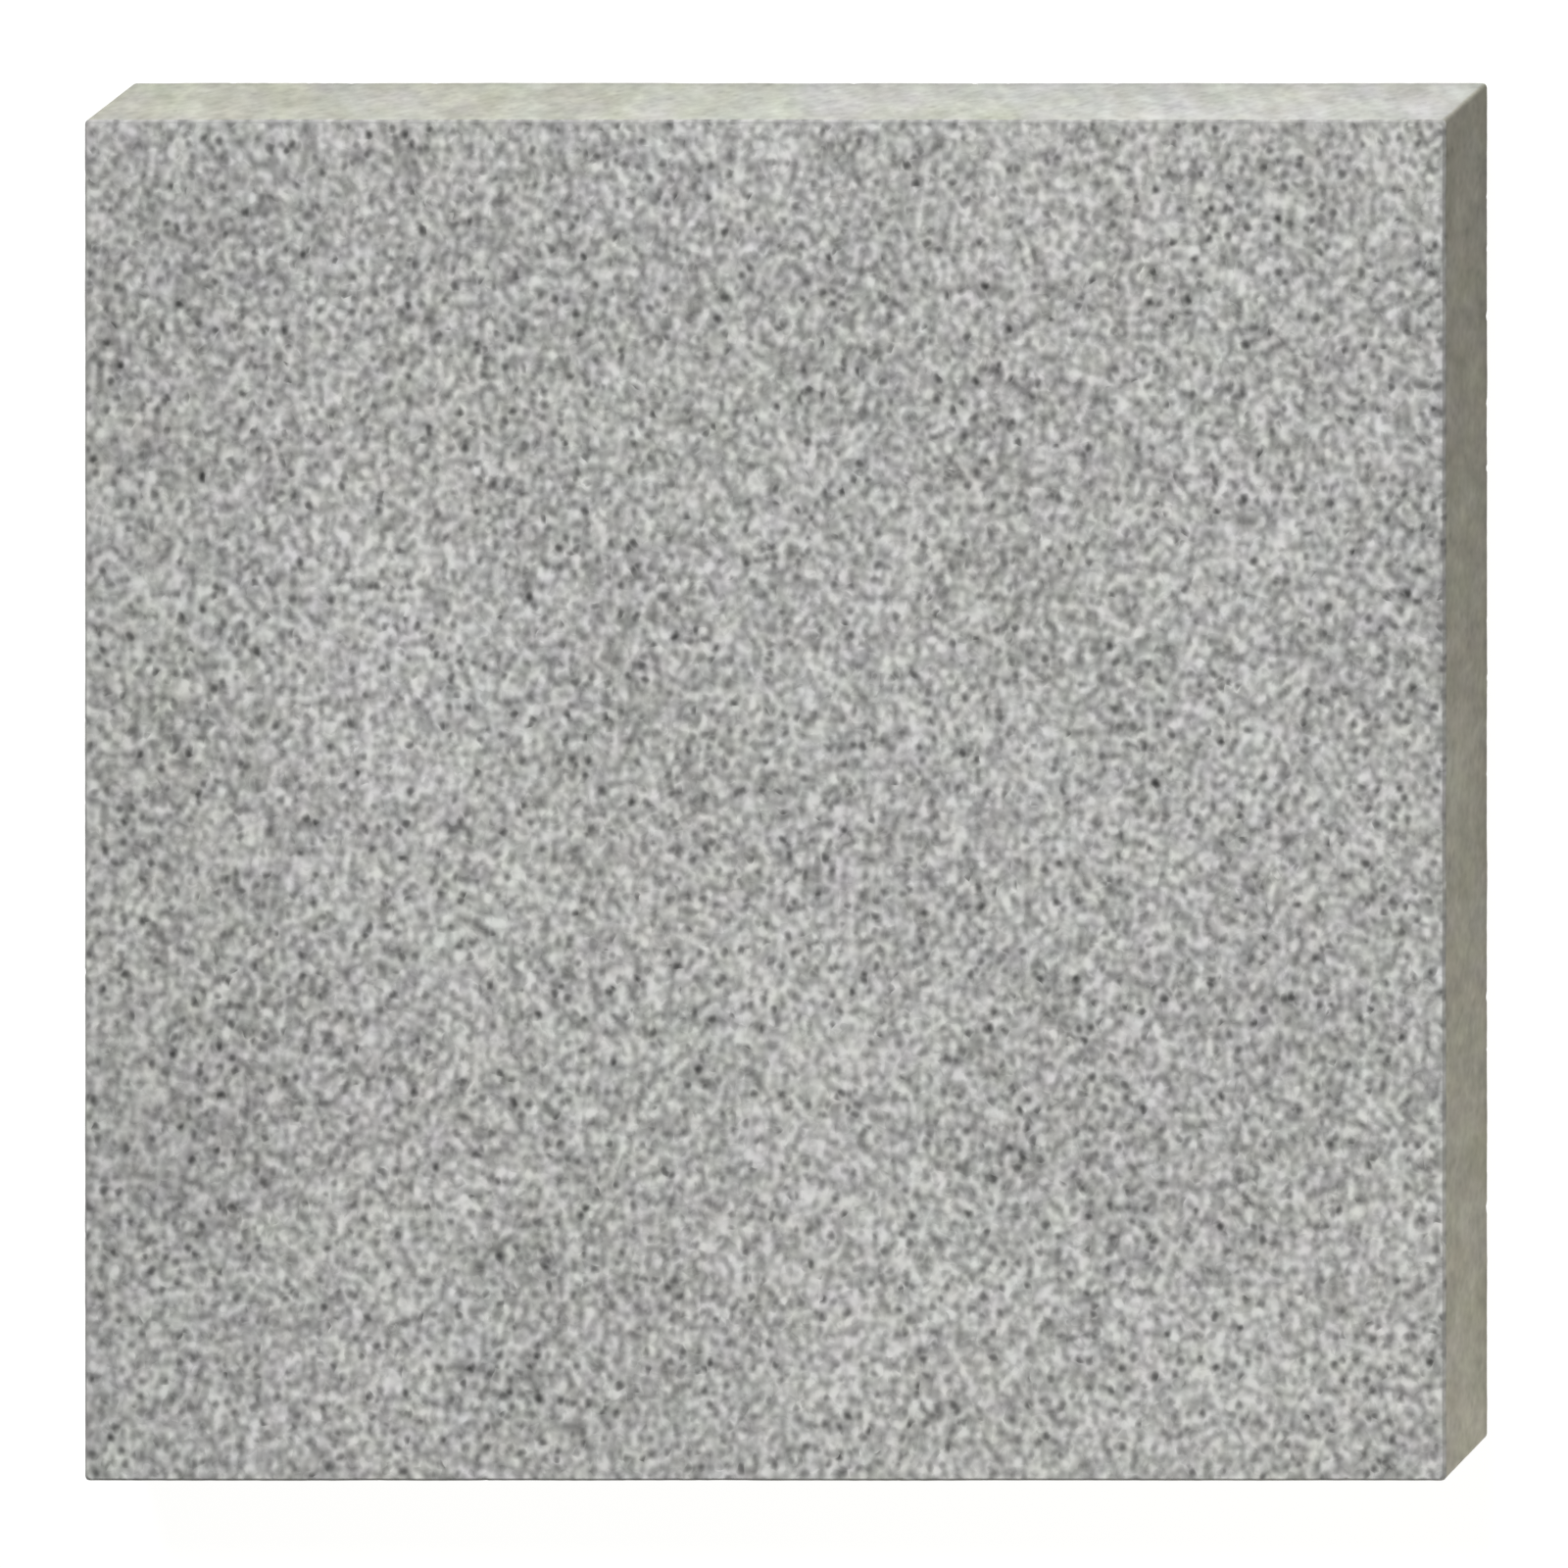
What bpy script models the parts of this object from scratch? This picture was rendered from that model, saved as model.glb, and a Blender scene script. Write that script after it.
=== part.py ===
"""Granite slab for leather tooling: one square block of speckled grey stone, struck on from above.

Metres, +Z up. The slab lies flat: its underside is on z = 0, its middle is over the origin, and the
polished working face looks up. The stone is quarried, sawn to size and polished in one piece, so
the object is a single solid.
"""

import bmesh
import bpy

INCH = 0.0254

# Driving dimensions
SLAB_WIDTH = 12 * INCH  # along X
SLAB_LENGTH = 12 * INCH  # along Y
SLAB_THICKNESS = 1 * INCH  # along Z, from underside to working face
CORNER_RADIUS = 0.0012  # rounding of the four upright corners
FACE_ARRIS = 0.0006  # each leg of the 45 degree arris ground round the working face
UNDERSIDE_ARRIS = 0.0004  # the same round the underside
CORNER_SEGMENTS = 4  # facets in each rounded corner

# Names of the vertex groups that mark the rims to be eased
FACE_RIM = "face_rim"
UNDERSIDE_RIM = "underside_rim"

# Appearance of the stone, as linear colour
STONE_COLOUR = (0.395, 0.397, 0.384, 1.0)
STONE_ROUGHNESS = 0.45


def clear_scene():
    """Remove whatever the open file holds, so that only the slab is left."""
    for old in list(bpy.data.objects):
        bpy.data.objects.remove(old, do_unlink=True)
    for old in list(bpy.data.collections):
        bpy.data.collections.remove(old)


def new_collection(name):
    """Return a new collection linked to the scene."""
    collection = bpy.data.collections.new(name)
    bpy.context.scene.collection.children.link(collection)
    return collection


def granite_material():
    """The stone's plain colour: opaque, not metallic, between honed and polished."""
    material = bpy.data.materials.new("granite")
    material.use_nodes = True
    shader = material.node_tree.nodes["Principled BSDF"]
    shader.inputs["Base Color"].default_value = STONE_COLOUR
    shader.inputs["Roughness"].default_value = STONE_ROUGHNESS
    shader.inputs["Metallic"].default_value = 0.0
    return material


def sawn_block(name):
    """The block as it leaves the saw, about its own middle, with its upright edges marked for rounding."""
    shape = bmesh.new()
    bmesh.ops.create_cube(shape, size=1.0)
    bmesh.ops.scale(shape, vec=(SLAB_WIDTH, SLAB_LENGTH, SLAB_THICKNESS), verts=shape.verts)
    weight = shape.edges.layers.float.new("bevel_weight_edge")
    for edge in shape.edges:
        low, high = sorted(vertex.co.z for vertex in edge.verts)
        edge[weight] = 1.0 if high > low else 0.0
    mesh = bpy.data.meshes.new(name)
    shape.to_mesh(mesh)
    shape.free()
    return bpy.data.objects.new(name, mesh)


def mark_rim(block, name, is_on_rim):
    """Put the vertices that lie on a rim into a vertex group."""
    group = block.vertex_groups.new(name=name)
    rim = [vertex.index for vertex in block.data.vertices if is_on_rim(vertex.co)]
    group.add(rim, 1.0, "REPLACE")


def round_corners(block):
    """Round the four upright edges."""
    bevel = block.modifiers.new("upright_corners", "BEVEL")
    bevel.limit_method = "WEIGHT"
    bevel.width = CORNER_RADIUS
    bevel.segments = CORNER_SEGMENTS


def grind_arris(block, rim, leg):
    """Take the sharpness off one rim with a flat 45 degree arris."""
    bevel = block.modifiers.new(rim, "BEVEL")
    bevel.limit_method = "VGROUP"
    bevel.vertex_group = rim
    bevel.width = leg
    bevel.segments = 1


def granite_slab(collection):
    """The whole slab: sawn, its corners rounded, its rims eased, standing on z = 0."""
    block = sawn_block("granite_slab")
    mark_rim(block, FACE_RIM, lambda place: place.z > 0)
    mark_rim(block, UNDERSIDE_RIM, lambda place: place.z < 0)
    round_corners(block)
    grind_arris(block, FACE_RIM, FACE_ARRIS)
    grind_arris(block, UNDERSIDE_RIM, UNDERSIDE_ARRIS)
    block.data.materials.append(granite_material())
    block.location.z = SLAB_THICKNESS / 2
    collection.objects.link(block)
    return block


clear_scene()
granite_slab(new_collection("granite_slab"))
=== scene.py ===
"""Granite tooling slab, seen as in a catalogue picture: its square face to the viewer, its depth going
back to the upper right. The stone is one mesh with a polished face, sawn sides and a sawn underside.

Metres, +Z up. The slab lies flat on the floor with its working face up.
"""

import math

import bpy
import numpy as np
from mathutils import Matrix, Vector


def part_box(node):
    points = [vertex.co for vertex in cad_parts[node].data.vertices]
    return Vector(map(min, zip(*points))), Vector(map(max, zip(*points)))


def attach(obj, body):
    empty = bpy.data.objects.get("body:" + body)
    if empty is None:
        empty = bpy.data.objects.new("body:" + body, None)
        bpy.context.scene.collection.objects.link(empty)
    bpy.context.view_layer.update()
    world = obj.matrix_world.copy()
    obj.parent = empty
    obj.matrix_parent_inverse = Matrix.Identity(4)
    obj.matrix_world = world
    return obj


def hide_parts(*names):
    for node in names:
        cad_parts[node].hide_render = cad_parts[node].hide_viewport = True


MM = 0.001
SEED = 12

# The stone's rims, which match the CAD solid
CORNER_RADIUS = 1.2 * MM
FACE_ARRIS = 0.6 * MM
UNDERSIDE_ARRIS = 0.4 * MM

# The mesh: steps along each side of the rim, a power of two, halved again and again towards the middle
SIDE_STEPS = 512
SIDE_ROWS = 24
FACE_HALVINGS = (4.5 * MM, 7 * MM, 12 * MM, 22 * MM)  # insets at which the face's rings halve
UNDERSIDE_HALVINGS = (4.5 * MM, 7 * MM)
RIM_INSETS = (3.0 * MM, 2.2 * MM, 1.4 * MM, 0.8 * MM)  # rings beside an arris, outermost last
ARRIS_CROWN = 0.42  # an arris's middle is this share of its leg in from both faces: 0.5 is flat
SHARP_ANGLE = 40  # degrees: an edge that turns more than this isn't smoothed

# How deep the saw's traces are, in mm
RIDGE_DEPTH = 0.04
GRAIN_DEPTH = 0.06
HOLLOW_DEPTH = 0.10
ARC_DEPTH = 0.08

# Material slots of the slab's mesh
FACE_SLOT, SIDE_SLOT, UNDERSIDE_SLOT = range(3)

# The stone's looks. Tones are 0 to 1 as the eye sees them, and turn into light by a power
EYE_POWER = 2.2
STONE_TONE = 0.675
SAWN_TONE = 0.598
# The arris and the chips are ground stone, and their darker tone is also painted shade along the rims
# and in the chips
GROUND_AND_SHADE_TONE = 0.45  # what the arris and the chips tend to
GRAIN_STRETCH = (1.02, 0.90, 0.97)  # the crystals lie a little longer along Y
FACE_TINT = (1.0, 0.983, 0.927)
SAWN_TINT = (1.0, 0.995, 0.92)
BLOTCH_LEAN = (-0.40, -0.36, -0.5)  # the sides' blotches are drawn out through the thickness and lean
SIDE_STREAKS = (0.08, 0.08, 1.0)  # streaks run round the slab on its sides
UNDERSIDE_STREAKS = (0.1, 1.0, 1.0)  # and along X on the underside
SAWN_CONTRAST = 0.14  # the share of the crystals' contrast that dust leaves on a sawn side
# A yellowish colour for stains, which also serves as painted shade at the left end and on the right
# side
STAIN_AND_SHADE_COLOUR = (0.925, 0.925, 0.82, 1.0)
# painted shade: the right side is made darker and warmer, as under its dimmer, warmer light
RIGHT_SIDE_PAINTED_SHADE = (0.97, 0.937, 0.923, 1.0)

# The oblique view: how far right and up of a point the picture shows one that is 1 m above it
SHEAR_RIGHT = -0.403
SHEAR_UP = -0.362
VIEW_WIDTH = 0.35090  # width of the frame at the working face
VIEW_CENTRE = (4.35 * MM, 3.8 * MM)  # the frame's centre on the working face
CAMERA_HEIGHT = 5.5  # above the working face
SENSOR_WIDTH = 36.0  # mm

# The lamps, with powers in watts. The polish mirrors only a part of the big one, the gleam
KEY_PLACE = (-1.0, 6.2, 4.8)
KEY_SIZE = 2.8
KEY_POWER = 860
GLEAM_POWER = 140
KEY_COLOUR = (0.98, 1.0, 1.03)
FILL_PLACE = (0.45, -0.42, 0.06)
FILL_AIM = (0.15, -0.1, 0.01)
FILL_SIZE = 0.1
FILL_POWER = 0.9
FILL_COLOUR = (1.0, 0.98, 0.92)
FLOOR_REACH = 30
FLOOR_GAP = 0.05 * MM  # under the slab, so that the two don't share a plane


# ---------------------------------------------------------------- shape of the stone


def ring(half, inset, height, steps, radius=0.0):
    """Points round the slab at one height, anticlockwise from the -X -Y corner, steps to a side."""
    along = np.arange(steps) / steps
    signs = np.array([(-1, -1), (1, -1), (1, 1), (-1, 1), (-1, -1)], float)
    square = np.concatenate([a + (b - a) * along[:, None] for a, b in zip(signs, signs[1:])])
    square *= half - inset
    core = np.clip(square, -(half - inset - radius), half - inset - radius)
    outward = square - core
    reach = np.linalg.norm(outward, axis=1, keepdims=True)
    if radius > 0:
        square = core + radius * outward / reach
    return np.column_stack([square, np.full(len(square), height)])


def lattice_noise(rng, across, down, cells):
    """Smooth noise from 0 to 1 at points (across, down), also 0 to 1, on a random grid of cells."""
    wide, tall = cells
    grid = rng.random((tall + 2, wide + 2))
    x, y = across * wide, down * tall
    i, j = np.floor(x).astype(int), np.floor(y).astype(int)
    fx, fy = x - i, y - j
    fx, fy = fx * fx * (3 - 2 * fx), fy * fy * (3 - 2 * fy)
    low = grid[j, i] * (1 - fx) + grid[j, i + 1] * fx
    high = grid[j + 1, i] * (1 - fx) + grid[j + 1, i + 1] * fx
    return low * (1 - fy) + high * fy


def profile(thickness):
    """The rings from the face's rim to the underside's, as (inset, height, slot of the band below)."""
    rows = [(inset, thickness, FACE_SLOT) for inset in RIM_INSETS]
    rows.append((FACE_ARRIS, thickness, FACE_SLOT))
    rows.append((FACE_ARRIS * ARRIS_CROWN, thickness - FACE_ARRIS * ARRIS_CROWN, FACE_SLOT))
    top, bottom = thickness - FACE_ARRIS, UNDERSIDE_ARRIS
    for row in range(SIDE_ROWS + 1):
        share = row / SIDE_ROWS
        eased = share - math.sin(4 * math.pi * share) / (8 * math.pi)
        rows.append((0.0, top + (bottom - top) * eased, SIDE_SLOT))
    rows.append((UNDERSIDE_ARRIS * ARRIS_CROWN, UNDERSIDE_ARRIS * ARRIS_CROWN, SIDE_SLOT))
    rows.append((UNDERSIDE_ARRIS, 0.0, UNDERSIDE_SLOT))
    rows += [(inset, 0.0, UNDERSIDE_SLOT) for inset in reversed(RIM_INSETS)]
    return rows


def sawn_sides(points, half, thickness, rng):
    """Press saw marks, broad hollows and a fine roughness into the sides."""
    rows, count = points.shape[:2]
    outward = points[:, :, :2] / half
    on_side = np.abs(outward).max(axis=2) > 1 - FACE_ARRIS / half
    round_the_slab = np.broadcast_to(np.arange(count) / count, (rows, count))
    height = points[:, :, 2] / thickness
    wander = 0.12 * lattice_noise(rng, round_the_slab, height * 0, (24, 1))
    ridges = lattice_noise(rng, round_the_slab * 0.999, np.clip(height * 0.85 + wander, 0, 1), (40, 14))
    grain = lattice_noise(rng, round_the_slab, height, (700, 14))
    hollows = lattice_noise(rng, round_the_slab, height, (110, 3))
    depth = (RIDGE_DEPTH * ridges + GRAIN_DEPTH * grain + HOLLOW_DEPTH * hollows) * MM
    axis = np.abs(outward).argmax(axis=2)
    sign = np.sign(np.take_along_axis(outward, axis[:, :, None], axis=2))[:, :, 0]
    for side in (0, 1):
        here = on_side & (axis == side)
        points[:, :, side] -= np.where(here, sign * depth, 0)


def bite(points, centre, radius):
    """Push every point inside a ball out to its surface, and return how far each one went."""
    away = points - centre
    distance = np.linalg.norm(away, axis=-1)
    push = np.clip(radius - distance, 0, None)
    points += away / np.maximum(distance, 1e-9)[..., None] * push[..., None]
    return push


def chipped_rims(points, half, thickness, rng):
    """Nick the two rims at random, and return how deep each point was chipped."""
    chipped = np.zeros(points.shape[:2])
    for height, up, count, deepest in (
        (thickness - FACE_ARRIS / 2, 1.0, 70, 0.26 * MM),
        (UNDERSIDE_ARRIS / 2, -1.0, 90, 0.32 * MM),
    ):
        for _ in range(count):
            side, place = rng.integers(4), rng.uniform(-1, 1)
            depth = deepest * (0.25 + 0.75 * rng.random() ** 3)
            radius = rng.uniform(0.9, 2.4) * MM
            turn = Matrix.Rotation(side * math.pi / 2, 3, "Z")
            tilt = math.radians(rng.uniform(25, 65))
            outward = turn @ Vector((math.cos(tilt), 0, up * math.sin(tilt)))
            rim = turn @ Vector((half - FACE_ARRIS / 2, place * half, height))
            centre = rim + outward * (radius - depth)
            chipped += bite(points, np.array(centre), radius)
    return chipped


def sawn_underside(points, half, rng):
    """Press the wide arcs of the saw into the underside, inwards only, so that it still lies flat."""
    x, y, z = points.T
    under = (z < 0.001 * MM) & (half - np.abs(points[:, :2]).max(axis=1) > 2 * UNDERSIDE_ARRIS)
    arc = np.hypot(x - 0.9 * half, y + 2.6 * half) / (5 * half)
    marks = lattice_noise(rng, arc, np.zeros_like(arc), (90, 1))
    points[:, 2] += np.where(under, ARC_DEPTH * MM * marks, 0)


class Skin:
    """A mesh in the making: points, faces, and each face's slot and island of the map."""

    def __init__(self):
        self.points = []
        self.faces = []
        self.slots = []
        self.islands = []

    def add_points(self, points):
        """Add points and return their numbers."""
        first = sum(len(block) for block in self.points)
        self.points.append(points)
        return np.arange(first, first + len(points))

    def add_face(self, corners, slot, island):
        """Add a face that shows a material slot and lies on an island of the map."""
        self.faces.append([int(c) for c in corners])
        self.slots.append(slot)
        self.islands.append(island)


def band(skin, upper, lower, slot, steps, island=None):
    """A row of quads between two rings of as many points. A side's quads go on that side's island."""
    count = len(upper)
    for i in range(count):
        j = (i + 1) % count
        place = ("side", i // steps) if island is None else (island, 0)
        skin.add_face((lower[i], lower[j], upper[j], upper[i]), slot, place)


def halved(skin, outer, inner, slot, island, flip):
    """A row of triangles from a ring to one with half as many points."""
    count = len(inner)
    for i in range(count):
        a, b, c = outer[2 * i], outer[2 * i + 1], outer[(2 * i + 2) % len(outer)]
        d, e = inner[i], inner[(i + 1) % count]
        for corners in ((a, b, d), (b, e, d), (b, c, e)):
            skin.add_face(corners[::-1] if flip else corners, slot, (island, 0))


def middle(skin, rim, make_points, slot, island, flip):
    """A square grid of quads inside a ring, which has cells * 4 points."""
    cells = len(rim) // 4
    number = np.zeros((cells + 1, cells + 1), int)
    number[0, :-1] = rim[:cells]
    number[:-1, -1] = rim[cells : 2 * cells]
    number[-1, 1:] = rim[2 * cells : 3 * cells][::-1]
    number[1:, 0] = rim[3 * cells :][::-1]
    number[1:-1, 1:-1] = skin.add_points(make_points(cells)).reshape(cells - 1, cells - 1)
    for j in range(cells):
        for i in range(cells):
            corners = (number[j, i], number[j, i + 1], number[j + 1, i + 1], number[j + 1, i])
            skin.add_face(corners[::-1] if flip else corners, slot, (island, 0))


def flat_middle(skin, rim, half, height, insets, slot, island, flip):
    """Fill a flat face inside its rim: rings that halve, then a grid."""
    steps = SIDE_STEPS
    for inset in insets:
        steps //= 2
        inner = skin.add_points(ring(half, inset, height, steps))
        halved(skin, rim, inner, slot, island, flip)
        rim = inner

    def grid(cells):
        line = np.linspace(-1, 1, cells + 1)[1:-1] * (half - insets[-1])
        x, y = np.meshgrid(line, line)
        return np.column_stack([x.ravel(), y.ravel(), np.full(x.size, height)])

    middle(skin, rim, grid, slot, island, flip)


def bake_map(mesh, skin, half, thickness):
    """Lay the slab out flat: the working face large, the sides in four strips, the underside small."""
    face_share, underside_share, gap = 0.735, 0.24, 0.005
    strip = face_share / (2 * half) * (thickness + 2 * FACE_ARRIS)
    uv = mesh.uv_layers.new(name="OFBake")
    co = np.array([v.co for v in mesh.vertices])
    places = np.zeros((len(mesh.loops), 2))
    for polygon, (kind, side) in zip(mesh.polygons, skin.islands):
        for loop in polygon.loop_indices:
            x, y, z = co[mesh.loops[loop].vertex_index]
            if kind == "face":
                u, v = (x / half + 1) / 2 * face_share + gap, (y / half + 1) / 2 * face_share + gap
            elif kind == "underside":
                u = 1 - gap - (x / half + 1) / 2 * underside_share
                v = (y / half + 1) / 2 * underside_share + gap
            else:
                run = (x, y, -x, -y)[side]
                inwards = half - abs((y, x, y, x)[side])
                down = thickness - z + (inwards if z > thickness / 2 else -inwards)
                u = (run / half + 1) / 2 * face_share + gap
                v = 1 - gap - side * (strip + gap) - (down + FACE_ARRIS) * face_share / (2 * half)
            places[loop] = u, v
    uv.data.foreach_set("uv", places.astype(np.float32).ravel())


def slab_mesh(half, thickness):
    """The whole stone as one closed mesh."""
    rng = np.random.default_rng(SEED)
    rows = profile(thickness)
    points = np.array([ring(half, inset, z, SIDE_STEPS, CORNER_RADIUS) for inset, z, _ in rows])
    sawn_sides(points, half, thickness, rng)
    chipped = chipped_rims(points, half, thickness, rng)
    skin = Skin()
    numbers = [skin.add_points(row) for row in points]
    for (_, _, slot), upper, lower in zip(rows, numbers, numbers[1:]):
        island = {FACE_SLOT: "face", UNDERSIDE_SLOT: "underside"}.get(slot)
        band(skin, upper, lower, slot, SIDE_STEPS, island)
    flat_middle(skin, numbers[0], half, thickness, FACE_HALVINGS, FACE_SLOT, "face", False)
    flat_middle(skin, numbers[-1], half, 0.0, UNDERSIDE_HALVINGS, UNDERSIDE_SLOT, "underside", True)

    mesh = bpy.data.meshes.new("slab")
    every = np.concatenate(skin.points)
    sawn_underside(every, half, rng)
    mesh.from_pydata(every.tolist(), [], skin.faces)
    mesh.polygons.foreach_set("material_index", skin.slots)
    ground = np.zeros(len(every), np.float32)
    ground[: chipped.size] = np.clip(chipped / (0.1 * MM), 0, 1).ravel()
    arris_start = len(RIM_INSETS) * 4 * SIDE_STEPS
    arris_rows = 3  # its inner rim, its middle and its outer rim
    ground[arris_start : arris_start + arris_rows * 4 * SIDE_STEPS] = 1
    mesh.attributes.new("ground", "FLOAT", "POINT").data.foreach_set("value", ground)
    bake_map(mesh, skin, half, thickness)
    mesh.shade_smooth()
    mesh.set_sharp_from_angle(angle=math.radians(SHARP_ANGLE))
    mesh.update()
    return mesh


# ---------------------------------------------------------------- materials


def add(tree, kind, inputs=None, **settings):
    """Add a node with its settings, and set or link its inputs."""
    node = tree.nodes.new(kind)
    for name, value in settings.items():
        setattr(node, name, value)
    for name, value in (inputs or {}).items():
        if isinstance(value, bpy.types.NodeSocket):
            tree.links.new(value, node.inputs[name])
        else:
            node.inputs[name].default_value = value
    return node


def maths(tree, operation, a, b=0.0, c=0.0):
    """The result of one Math node."""
    return add(tree, "ShaderNodeMath", {0: a, 1: b, 2: c}, operation=operation).outputs[0]


def vary(tree, base, value, amount):
    """base + (value - 0.5) * amount, for a value that runs from 0 to 1."""
    return maths(tree, "MULTIPLY_ADD", maths(tree, "SUBTRACT", value, 0.5), amount, base)


def rise(tree, value, start, end, low=0.0, high=1.0):
    """A smooth step from low to high as the value goes from start to end."""
    inputs = {"Value": value, "From Min": start, "From Max": end, "To Min": low, "To Max": high}
    return add(tree, "ShaderNodeMapRange", inputs, interpolation_type="SMOOTHSTEP").outputs[0]


def mixed(tree, factor, a, b, blend="MIX"):
    """Two colours mixed."""
    inputs = {0: factor, 6: a, 7: b}
    return add(tree, "ShaderNodeMix", inputs, data_type="RGBA", blend_type=blend).outputs[2]


def blended(tree, a, b, factor):
    """Two numbers mixed."""
    return add(tree, "ShaderNodeMix", {0: factor, 2: a, 3: b}, data_type="FLOAT").outputs[0]


def tinted(tree, tone, colour):
    """A colour that is a tone times a fixed tint."""
    grey = add(tree, "ShaderNodeCombineColor", {0: tone, 1: tone, 2: tone}).outputs[0]
    return mixed(tree, 1.0, grey, (*colour, 1.0), "MULTIPLY")


def object_place(tree):
    """Where a point is on the object."""
    return add(tree, "ShaderNodeTexCoord").outputs["Object"]


def turned(tree, place, angles):
    """A place turned about the origin, so that the noise's own grid doesn't line up with the slab."""
    inputs = {"Vector": place, "Rotation": angles}
    return add(tree, "ShaderNodeVectorRotate", inputs, rotation_type="EULER_XYZ").outputs[0]


def moved(tree, place, direction, amount):
    """A place moved along a vector socket or a fixed vector."""
    inputs = {0: direction, 1: (amount, amount, amount), 2: place}
    return add(tree, "ShaderNodeVectorMath", inputs, operation="MULTIPLY_ADD").outputs[0]


def noise(tree, place, size, detail=0.0):
    """Noise from 0 to 1 with features about as large as size."""
    return add(tree, "ShaderNodeTexNoise", {"Vector": place, "Scale": 1 / size, "Detail": detail})


def cells(tree, place, size):
    """Random cells about as large as size: (distance from the cell's middle, three random values)."""
    node = add(tree, "ShaderNodeTexVoronoi", {"Vector": place, "Scale": 1 / size})
    chance = add(tree, "ShaderNodeSeparateColor", {0: node.outputs["Color"]}).outputs
    return node.outputs["Distance"], chance


def drifting(tree, colour, place, size, amount):
    """A colour whose green and blue drift a little from place to place."""
    waver = noise(tree, place, size, 1.5).outputs["Color"]
    green, blue = 0.8 * amount, amount
    inputs = {0: waver, 1: (0.0, green, blue), 2: (1.0, 1 - green / 2, 1 - blue / 2)}
    factor = add(tree, "ShaderNodeVectorMath", inputs, operation="MULTIPLY_ADD").outputs[0]
    return mixed(tree, 1.0, colour, factor, "MULTIPLY")


def specks(tree, place, size, share, core, edge):
    """Soft round crystals in a share of the cells, each with its own strength from 0 to 1."""
    distance, chance = cells(tree, place, size)
    strength = {"Value": chance[0], "From Min": 1 - share}
    strength = add(tree, "ShaderNodeMapRange", strength).outputs[0]
    return maths(tree, "MULTIPLY", strength, rise(tree, distance, edge, core))


def crystals(tree):
    """The stone's own tone all through it, 0 to 1 as the eye sees it, and where its dark flakes are."""
    grain = {0: object_place(tree), 1: GRAIN_STRETCH}
    place = add(tree, "ShaderNodeVectorMath", grain, operation="MULTIPLY").outputs[0]
    place = turned(tree, place, (0.7, 0.4, 0.9))
    across = turned(tree, place, (1.1, 0.5, 2.0))
    shake = noise(tree, place, 2.4 * MM, 1.0).outputs["Color"]
    shaken = moved(tree, moved(tree, place, shake, 1.4 * MM), (-0.5, -0.5, -0.5), 1.4 * MM)

    tone = vary(tree, STONE_TONE, noise(tree, place, 2.8 * MM).outputs["Fac"], 0.17)
    tone = vary(tree, tone, noise(tree, across, 2.0 * MM).outputs["Fac"], 0.46)
    tone = vary(tree, tone, noise(tree, place, 9 * MM, 1.5).outputs["Fac"], 0.14)
    tone = vary(tree, tone, noise(tree, across, 60 * MM, 1.0).outputs["Fac"], 0.12)
    tone = vary(tree, tone, cells(tree, shaken, 1.5 * MM)[1][0], 0.07)
    feldspar = specks(tree, moved(tree, shaken, (1.0, 1.0, 1.0), 37 * MM), 2.2 * MM, 0.6, 0.1, 0.75)
    tone = maths(tree, "MULTIPLY_ADD", feldspar, 0.10, tone)
    biotite = specks(tree, shaken, 2.3 * MM, 0.7, 0.05, 0.62)
    tone = maths(tree, "MULTIPLY_ADD", biotite, -0.25, tone)
    return maths(tree, "SMOOTH_MIN", tone, 0.86, 0.14), biotite


def new_material(name):
    """A material with an empty Principled shader: (material, its tree, the shader)."""
    material = bpy.data.materials.new(name)
    material.use_nodes = True
    tree = material.node_tree
    return material, tree, tree.nodes["Principled BSDF"]


def bump(tree, shader, height, depth):
    """Relief from a height of 0 to 1, as deep as depth."""
    inputs = {"Height": height, "Distance": depth, "Strength": 1.0}
    tree.links.new(add(tree, "ShaderNodeBump", inputs).outputs[0], shader.inputs["Normal"])


def polished_granite():
    """The working face: crystals in full tone under a low polish, dull on the arris and in chips.
    Painted shade darkens the arris, the chips and the face's left end.
    """
    material, tree, shader = new_material("polished_granite")
    tone, biotite = crystals(tree)
    x = add(tree, "ShaderNodeSeparateXYZ", {0: object_place(tree)}).outputs[0]
    # painted shade: the face darkens smoothly towards its left end
    tone = maths(tree, "MULTIPLY", tone, rise(tree, x, -152 * MM, -80 * MM, 0.955, 1.0))
    ground = add(tree, "ShaderNodeAttribute", attribute_name="ground").outputs["Fac"]
    # the arris and chips blend towards a darker tone: partly ground stone, partly painted shade
    tone = blended(tree, tone, GROUND_AND_SHADE_TONE, maths(tree, "MULTIPLY", ground, 0.5))
    colour = tinted(tree, maths(tree, "POWER", tone, EYE_POWER), FACE_TINT)
    colour = drifting(tree, colour, turned(tree, object_place(tree), (0.2, 0.9, 0.4)), 7 * MM, 0.11)
    colour = drifting(tree, colour, object_place(tree), 50 * MM, 0.05)
    tree.links.new(colour, shader.inputs["Base Color"])
    polish = maths(tree, "MULTIPLY_ADD", biotite, 0.15, 0.30)
    tree.links.new(maths(tree, "MULTIPLY_ADD", ground, 0.5, polish), shader.inputs["Roughness"])
    bump(tree, shader, tone, 0.02 * MM)
    return material


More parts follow.
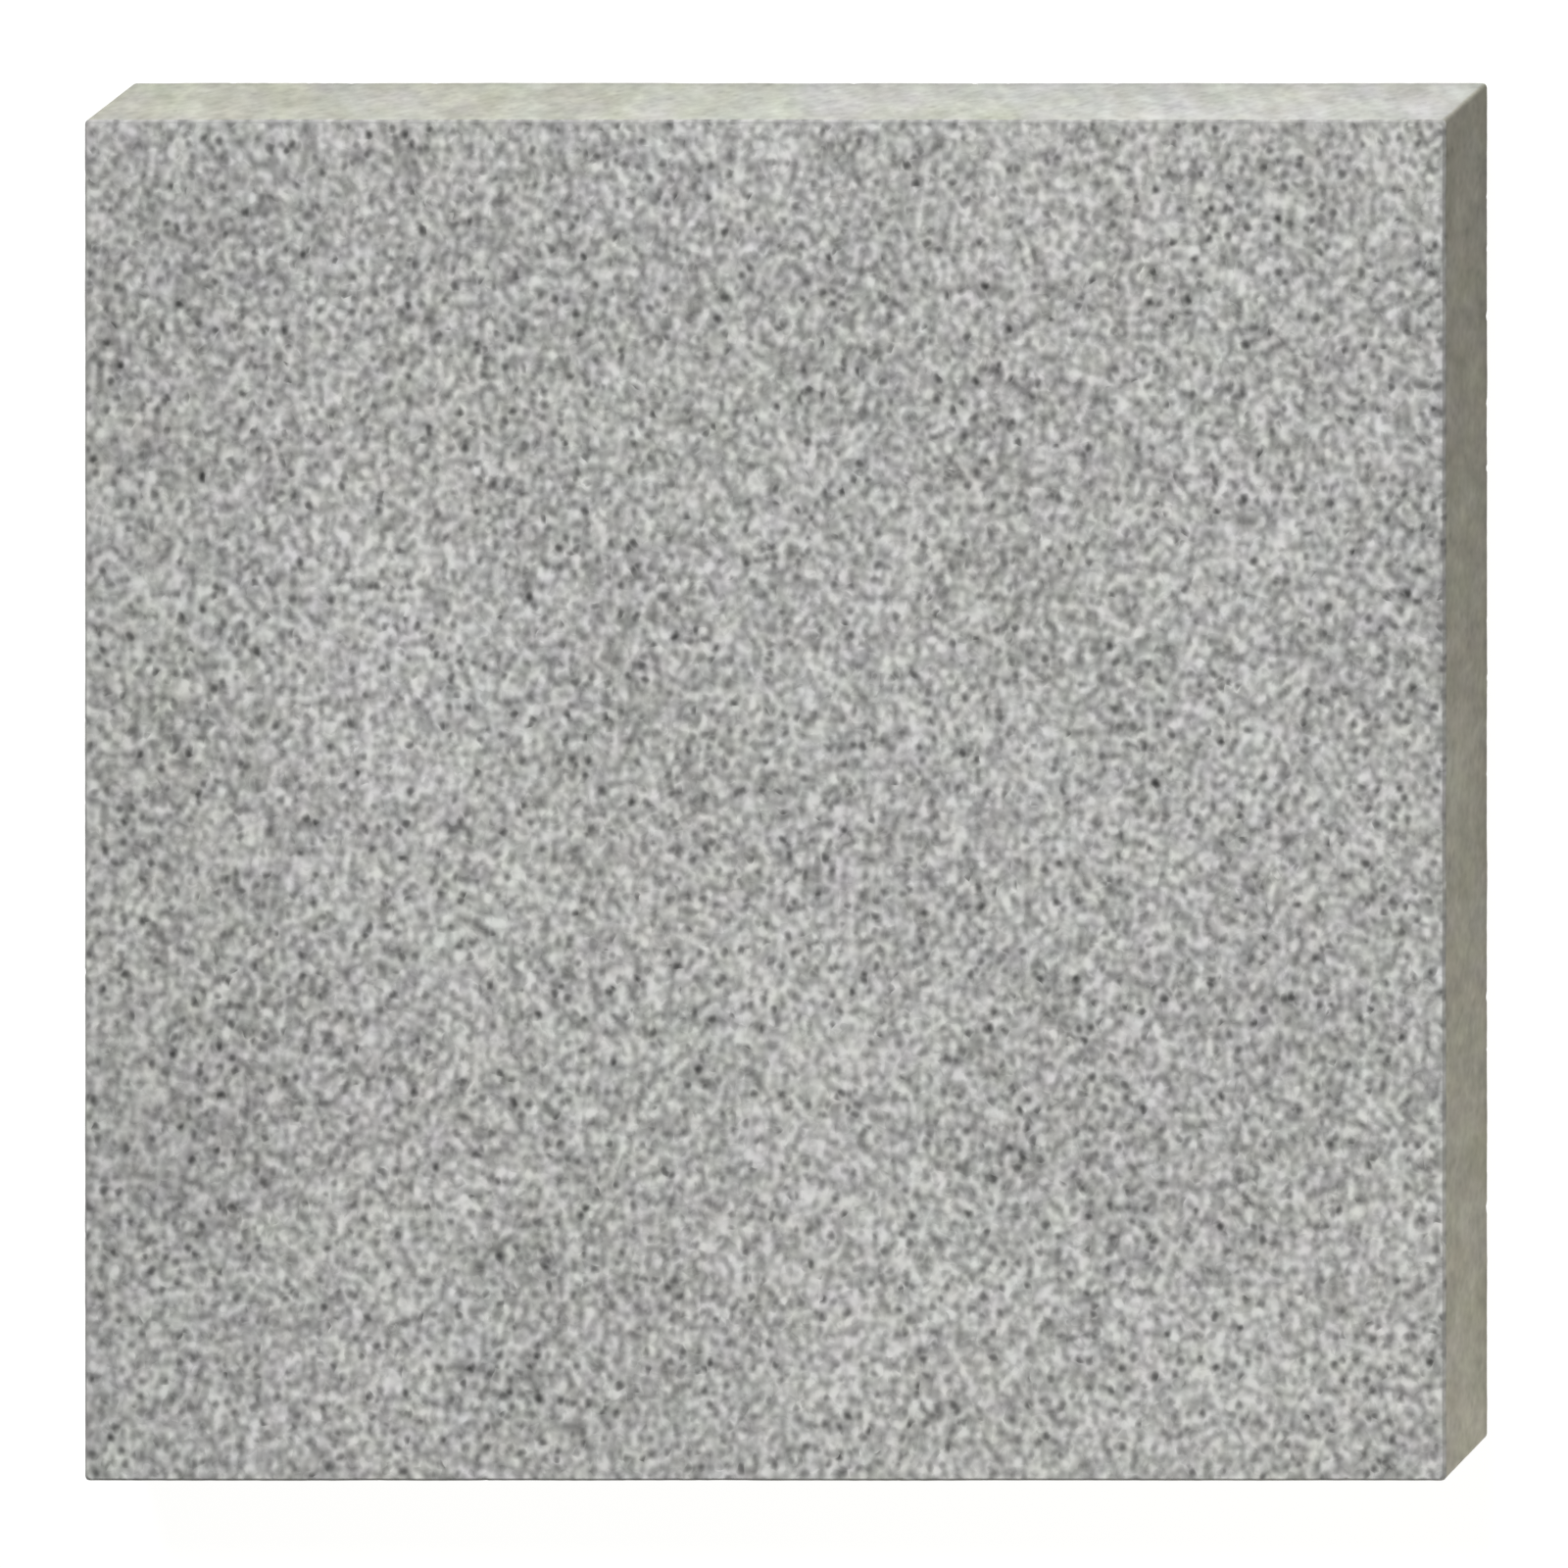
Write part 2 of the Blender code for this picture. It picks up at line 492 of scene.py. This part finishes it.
def stain_and_shade_share(tree, x, askew, right_side):
    """How stained and shaded the sawn stone is: stains in patches, and painted shade that grows towards
    its left end and on its right side.
    """
    # the smooth growth towards the left end and the rise on the right side are painted shade; the noise
    # patches are stains
    left_end = rise(tree, x, 90 * MM, -140 * MM, 0.1, 0.8)
    stain_and_shade = maths(tree, "MAXIMUM", left_end, maths(tree, "MULTIPLY", right_side, 0.9))
    stain_and_shade = vary(tree, stain_and_shade, noise(tree, askew, 11 * MM, 1.0).outputs["Fac"], 1.8)
    return add(tree, "ShaderNodeClamp", {0: stain_and_shade}).outputs[0]


def right_side_painted_shade(tree, y, z, right_side):
    """How much painted shade darkens the right side: most at its back end, and a little by the face."""
    back_end = rise(tree, y, -40 * MM, 170 * MM)
    by_the_face = rise(tree, z, 14 * MM, 24 * MM)
    painted_shade = maths(tree, "MULTIPLY_ADD", back_end, 0.085, maths(tree, "MULTIPLY", by_the_face, 0.03))
    return maths(tree, "MULTIPLY", painted_shade, right_side)


def sawn_granite(name, streak_stretch):
    """Sawn and left dull: dust in the pores makes it pale, warm and low in contrast, with blotches;
    painted shade darkens it at the left end, near the floor and on the right side.
    """
    material, tree, shader = new_material(name)
    tone, _ = crystals(tree)
    place = object_place(tree)
    x, y, z = add(tree, "ShaderNodeSeparateXYZ", {0: place}).outputs
    leaning = {0: z, 1: BLOTCH_LEAN, 2: place}
    askew = add(tree, "ShaderNodeVectorMath", leaning, operation="MULTIPLY_ADD").outputs[0]
    askew = turned(tree, askew, (0.3, 1.2, 0.5))
    drawn_out = {0: place, 1: streak_stretch}
    long_way = add(tree, "ShaderNodeVectorMath", drawn_out, operation="MULTIPLY").outputs[0]
    streaks = noise(tree, long_way, 2.5 * MM, 2.0).outputs["Fac"]
    blotches = noise(tree, askew, 4.5 * MM, 2.0).outputs["Fac"]
    clouds = noise(tree, askew, 14 * MM, 1.0).outputs["Fac"]
    speckle = maths(tree, "SUBTRACT", tone, STONE_TONE)
    dust_and_shade = maths(tree, "MULTIPLY_ADD", speckle, SAWN_CONTRAST, SAWN_TONE)
    for pattern, amount in ((streaks, 0.02), (blotches, 0.17), (clouds, 0.08)):
        dust_and_shade = vary(tree, dust_and_shade, pattern, amount)

    right_side = rise(tree, x, 151 * MM, 152 * MM)
    stain_and_shade = stain_and_shade_share(tree, x, askew, right_side)
    # painted shade: the right side darkens towards its back end and near the face
    unshaded = maths(tree, "SUBTRACT", 1.0, right_side_painted_shade(tree, y, z, right_side))
    dust_and_shade = maths(tree, "MULTIPLY", dust_and_shade, unshaded)
    # painted shade: the sawn stone darkens towards the left end
    dust_and_shade = maths(tree, "MULTIPLY", dust_and_shade, rise(tree, x, -150 * MM, 60 * MM, 0.975, 1.0))
    # painted shade and light: the sides lighten from the floor up to the face
    dust_and_shade = maths(tree, "MULTIPLY", dust_and_shade, rise(tree, z, 0.0, 25 * MM, 0.975, 1.02))
    # painted shade: a darker band just above the floor
    dust_and_shade = maths(tree, "MULTIPLY", dust_and_shade, rise(tree, z, 1.0 * MM, 3.5 * MM, 0.955, 1.0))

    colour = tinted(tree, maths(tree, "POWER", dust_and_shade, EYE_POWER), SAWN_TINT)
    # stains, and painted shade at the left end and on the right side, mixed in as one yellowish colour
    colour = mixed(tree, stain_and_shade, colour, STAIN_AND_SHADE_COLOUR, "MULTIPLY")
    # painted shade: the right side is darkened and warmed
    colour = mixed(tree, right_side, colour, RIGHT_SIDE_PAINTED_SHADE, "MULTIPLY")
    colour = drifting(tree, colour, askew, 11 * MM, 0.17)
    tree.links.new(colour, shader.inputs["Base Color"])
    tree.links.new(vary(tree, 0.85, streaks, 0.2), shader.inputs["Roughness"])
    shader.inputs["Specular IOR Level"].default_value = 0.3
    pores = noise(tree, turned(tree, place, (0.7, 0.4, 0.9)), 0.7 * MM, 2.0).outputs["Fac"]
    bump(tree, shader, vary(tree, pores, streaks, 0.3), 0.06 * MM)
    return material


# ---------------------------------------------------------------- stage


def oblique_camera(target):
    """A camera whose picture plane is parallel to the working face though it looks in from one side.

    A point nearer the viewer is drawn lower and further left, as in a cabinet drawing. The view is an
    upright one sheared sideways. A shear is a turn, a stretch and another turn: the rig holds the first
    two and the camera the last.
    """
    lean = (-SHEAR_RIGHT, -SHEAR_UP, 1.0)
    shear = np.array(((1, 0, lean[0]), (0, 1, lean[1]), (0, 0, 1)), float)
    turn, stretch, last_turn = np.linalg.svd(shear)
    if np.linalg.det(turn) < 0:
        turn[:, 2] *= -1
        last_turn[2, :] *= -1
    rig = bpy.data.objects.new("camera_rig", None)
    rig.rotation_euler = Matrix(turn.tolist()).to_euler()
    rig.scale = stretch.tolist()
    rig.location = target + Vector(lean) * CAMERA_HEIGHT
    camera = bpy.data.objects.new("camera", bpy.data.cameras.new("camera"))
    camera.parent = rig
    camera.rotation_euler = Matrix(last_turn.tolist()).to_euler()
    camera.data.sensor_width = SENSOR_WIDTH
    camera.data.lens = SENSOR_WIDTH * Vector(lean).length * CAMERA_HEIGHT / VIEW_WIDTH
    camera.data.clip_end = 100.0
    for made in (rig, camera):
        bpy.context.scene.collection.objects.link(made)
    bpy.context.scene.camera = camera


def floor():
    """A plain white floor that glows a little, like a light table, so that shadows stay faint."""
    mesh = bpy.data.meshes.new("floor")
    signs = ((-1, -1), (1, -1), (1, 1), (-1, 1))
    corners = [(x * FLOOR_REACH, y * FLOOR_REACH, 0) for x, y in signs]
    mesh.from_pydata(corners, [], [(0, 1, 2, 3)])
    made = bpy.data.objects.new("floor", mesh)
    made.location.z = -FLOOR_GAP
    bpy.context.scene.collection.objects.link(made)
    material, _, shader = new_material("white_floor")
    shader.inputs["Base Color"].default_value = (0.10, 0.10, 0.10, 1.0)
    shader.inputs["Roughness"].default_value = 1.0
    shader.inputs["Specular IOR Level"].default_value = 0.0
    shader.inputs["Emission Color"].default_value = (1.0, 0.997, 0.985, 1.0)
    shader.inputs["Emission Strength"].default_value = 0.985
    mesh.materials.append(material)


def soft_light(name, place, aim, size, power, colour, mirrored):
    """A round area light at a place, aimed at a point, which the polish mirrors or not."""
    light = bpy.data.objects.new(name, bpy.data.lights.new(name, "AREA"))
    light.data.shape = "DISK"
    light.data.size = size
    light.data.energy = power
    light.data.color = colour
    light.visible_camera = False
    light.visible_glossy = mirrored
    light.location = place
    light.rotation_euler = (Vector(aim) - Vector(place)).to_track_quat("-Z", "Y").to_euler()
    bpy.context.scene.collection.objects.link(light)


def sky():
    """A dim room whose walls are white low down, which the polish reflects at a slant."""
    world = bpy.data.worlds.new("studio")
    world.use_nodes = True
    tree = world.node_tree
    direction = add(tree, "ShaderNodeTexCoord").outputs["Generated"]
    up = add(tree, "ShaderNodeSeparateXYZ", {0: direction}).outputs[2]
    background = tree.nodes["Background"]
    tree.links.new(rise(tree, up, 0.02, 0.22, 0.9, 0.05), background.inputs["Strength"])
    background.inputs["Color"].default_value = (1.0, 1.0, 1.0, 1.0)
    bpy.context.scene.world = world


# ---------------------------------------------------------------- scene


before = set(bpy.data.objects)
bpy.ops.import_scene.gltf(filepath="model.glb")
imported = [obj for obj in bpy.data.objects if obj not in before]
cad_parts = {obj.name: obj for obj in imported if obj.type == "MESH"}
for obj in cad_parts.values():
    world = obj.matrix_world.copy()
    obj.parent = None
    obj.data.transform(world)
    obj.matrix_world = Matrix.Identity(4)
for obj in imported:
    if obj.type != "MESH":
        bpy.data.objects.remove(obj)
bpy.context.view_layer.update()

low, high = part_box("granite_slab")
half_side = (high.x - low.x) / 2
slab = bpy.data.objects.new("slab_stone", slab_mesh(half_side, high.z))
bpy.context.scene.collection.objects.link(slab)
slab.data.materials.append(polished_granite())
slab.data.materials.append(sawn_granite("sawn_side", SIDE_STREAKS))
slab.data.materials.append(sawn_granite("sawn_underside", UNDERSIDE_STREAKS))
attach(slab, "root")
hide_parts("granite_slab")

floor()
sky()
soft_light("key", KEY_PLACE, (0, 0, 0), KEY_SIZE, KEY_POWER, KEY_COLOUR, False)
soft_light("gleam", KEY_PLACE, (0, 0, 0), KEY_SIZE, GLEAM_POWER, KEY_COLOUR, True)
soft_light("fill", FILL_PLACE, FILL_AIM, FILL_SIZE, FILL_POWER, FILL_COLOUR, False)
oblique_camera(Vector((*VIEW_CENTRE, high.z)))
bpy.context.scene.view_settings.view_transform = "Standard"
